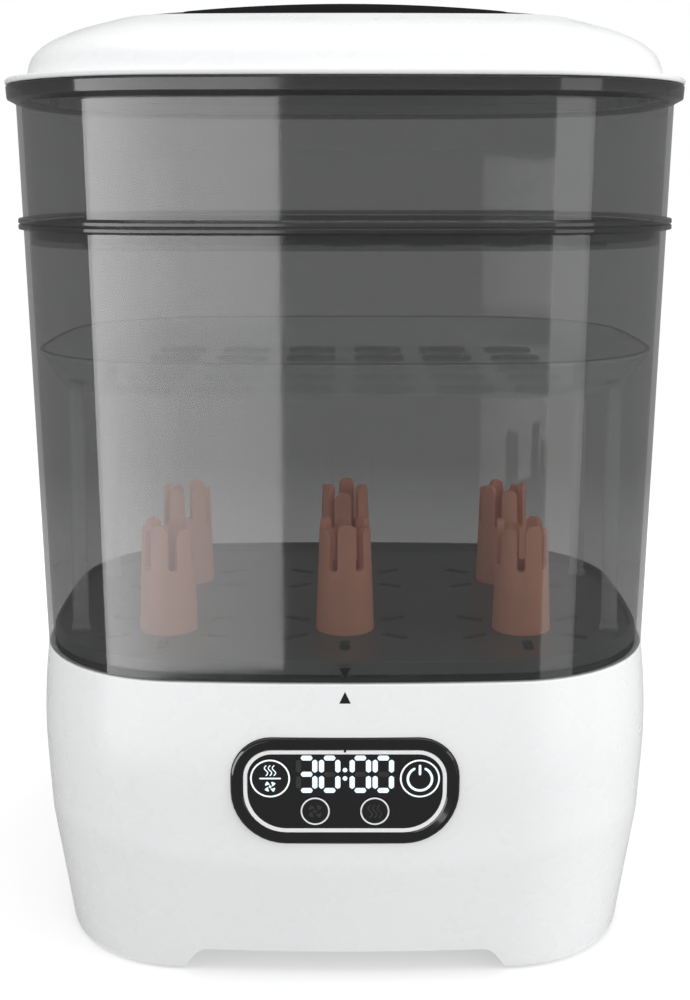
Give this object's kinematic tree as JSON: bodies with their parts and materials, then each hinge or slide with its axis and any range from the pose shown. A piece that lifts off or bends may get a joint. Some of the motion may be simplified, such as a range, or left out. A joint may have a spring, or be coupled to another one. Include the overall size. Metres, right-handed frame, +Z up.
{
  "type": "bottle sterilizer",
  "caption": "Steam bottle sterilizer and dryer: panelled base, two stacked smoky chambers with peg tray and rack, domed lid.",
  "frame": {"origin": "on the ground under the middle of the base", "axes": "+Z up, the control panel faces -Y, +X to the right of someone behind it"},
  "size_m": [0.2904, 0.2224, 0.4052],
  "materials": {
    "white_gloss": "glossy moulded ABS",
    "base_grey": "fine satin moulded ABS",
    "rubber_dark": "matte rubber",
    "steel": "brushed stainless steel",
    "silicone": "matte silicone",
    "aluminium": "plain aluminium",
    "inner_plastic": "matte heat-proof plastic",
    "motor_can": "zinc plated can",
    "filter_fleece": "pleated fleece",
    "circuit_board": "green solder mask",
    "black_gloss": "piano black",
    "smoky_clear": "smoke tinted clear copolyester",
    "dark_tray": "dark grey polypropylene",
    "clear": "clear polypropylene",
    "coral": "coral polypropylene"
  },
  "bodies": {
    "base": {"air_duct": "inner_plastic", "air_heater": "aluminium", "air_outlet_grille": "inner_plastic", "base_bottom_cover": "base_grey", "base_shell": "white_gloss", "blower_housing": "inner_plastic", "blower_inlet_cover": "inner_plastic", "blower_motor": "motor_can", "clamp_screws": "steel", "cord_gland": "rubber_dark", "cover_screws": "steel", "display_circuit_board": "circuit_board", "heating_element": "steel", "heating_pan": "steel", "led_display": "black_gloss", "main_circuit_board": "circuit_board", "pan_clamp_ring": "steel", "pan_gasket": "silicone", "panel_bezel": "black_gloss", "panel_trim": "white_gloss", "panel_window": "black_gloss", "rubber_feet": "rubber_dark", "tact_switches": "circuit_board", "thermal_fuse": "aluminium", "thermostat": "aluminium"},
    "blower_wheel": {"impeller": "inner_plastic", "motor_shaft": "steel"},
    "filter_door": {"filter_cover": "base_grey", "air_filter": "filter_fleece"},
    "lower_chamber_body": {"lower_chamber": "smoky_clear"},
    "bottle_tray_body": {"bottle_tray": "dark_tray", "bottle_peg_1": "coral", "bottle_peg_2": "coral", "bottle_peg_3": "coral", "bottle_peg_4": "coral", "bottle_peg_5": "coral", "bottle_peg_6": "coral"},
    "middle_rack_body": {"middle_rack": "clear"},
    "upper_chamber_body": {"upper_chamber": "smoky_clear"},
    "lid": {"lid_shell": "white_gloss", "lid_crown": "black_gloss", "lid_handle": "black_gloss"},
    "steam_and_dry_button_key": {"steam_and_dry_button": "black_gloss"},
    "power_button_key": {"power_button": "black_gloss"},
    "dry_button_key": {"dry_button": "black_gloss"},
    "steam_button_key": {"steam_button": "black_gloss"}
  },
  "joints": [
    {"name": "lower_chamber_lift", "type": "slide", "parent": "base", "child": "lower_chamber_body", "axis": [0, 0, 1], "range_m": [0, 0.08]},
    {"name": "bottle_tray_lift", "type": "slide", "parent": "lower_chamber_body", "child": "bottle_tray_body", "axis": [0, 0, 1], "range_m": [0, 0.2]},
    {"name": "middle_rack_lift", "type": "slide", "parent": "bottle_tray_body", "child": "middle_rack_body", "axis": [0, 0, 1], "range_m": [0, 0.19]},
    {"name": "upper_chamber_lift", "type": "slide", "parent": "middle_rack_body", "child": "upper_chamber_body", "axis": [0, 0, 1], "range_m": [0, 0.08]},
    {"name": "lid_lift", "type": "slide", "parent": "upper_chamber_body", "child": "lid", "axis": [0, 0, 1], "range_m": [0, 0.12]},
    {"name": "filter_cover_pull", "type": "slide", "parent": "base", "child": "filter_door", "axis": [0, 1, 0], "range_m": [0, 0.06]},
    {"name": "impeller_spin", "type": "hinge", "parent": "base", "child": "blower_wheel", "pos_m": [-0.019, 0.06, 0.062], "axis": [0, 1, 0], "continuous": true},
    {"name": "steam_and_dry_button_press", "type": "slide", "parent": "base", "child": "steam_and_dry_button_key", "axis": [0, 0.9993, 0.0366], "range_m": [0, 0.0008], "stiffness_N_per_m": 800, "springref_m": -0.0005},
    {"name": "power_button_press", "type": "slide", "parent": "base", "child": "power_button_key", "axis": [0, 0.9993, 0.0366], "range_m": [0, 0.0008], "stiffness_N_per_m": 800, "springref_m": -0.0005},
    {"name": "dry_button_press", "type": "slide", "parent": "base", "child": "dry_button_key", "axis": [0, 0.9993, 0.0366], "range_m": [0, 0.0008], "stiffness_N_per_m": 800, "springref_m": -0.0005},
    {"name": "steam_button_press", "type": "slide", "parent": "base", "child": "steam_button_key", "axis": [0, 0.9993, 0.0366], "range_m": [0, 0.0008], "stiffness_N_per_m": 800, "springref_m": -0.0005}
  ]
}
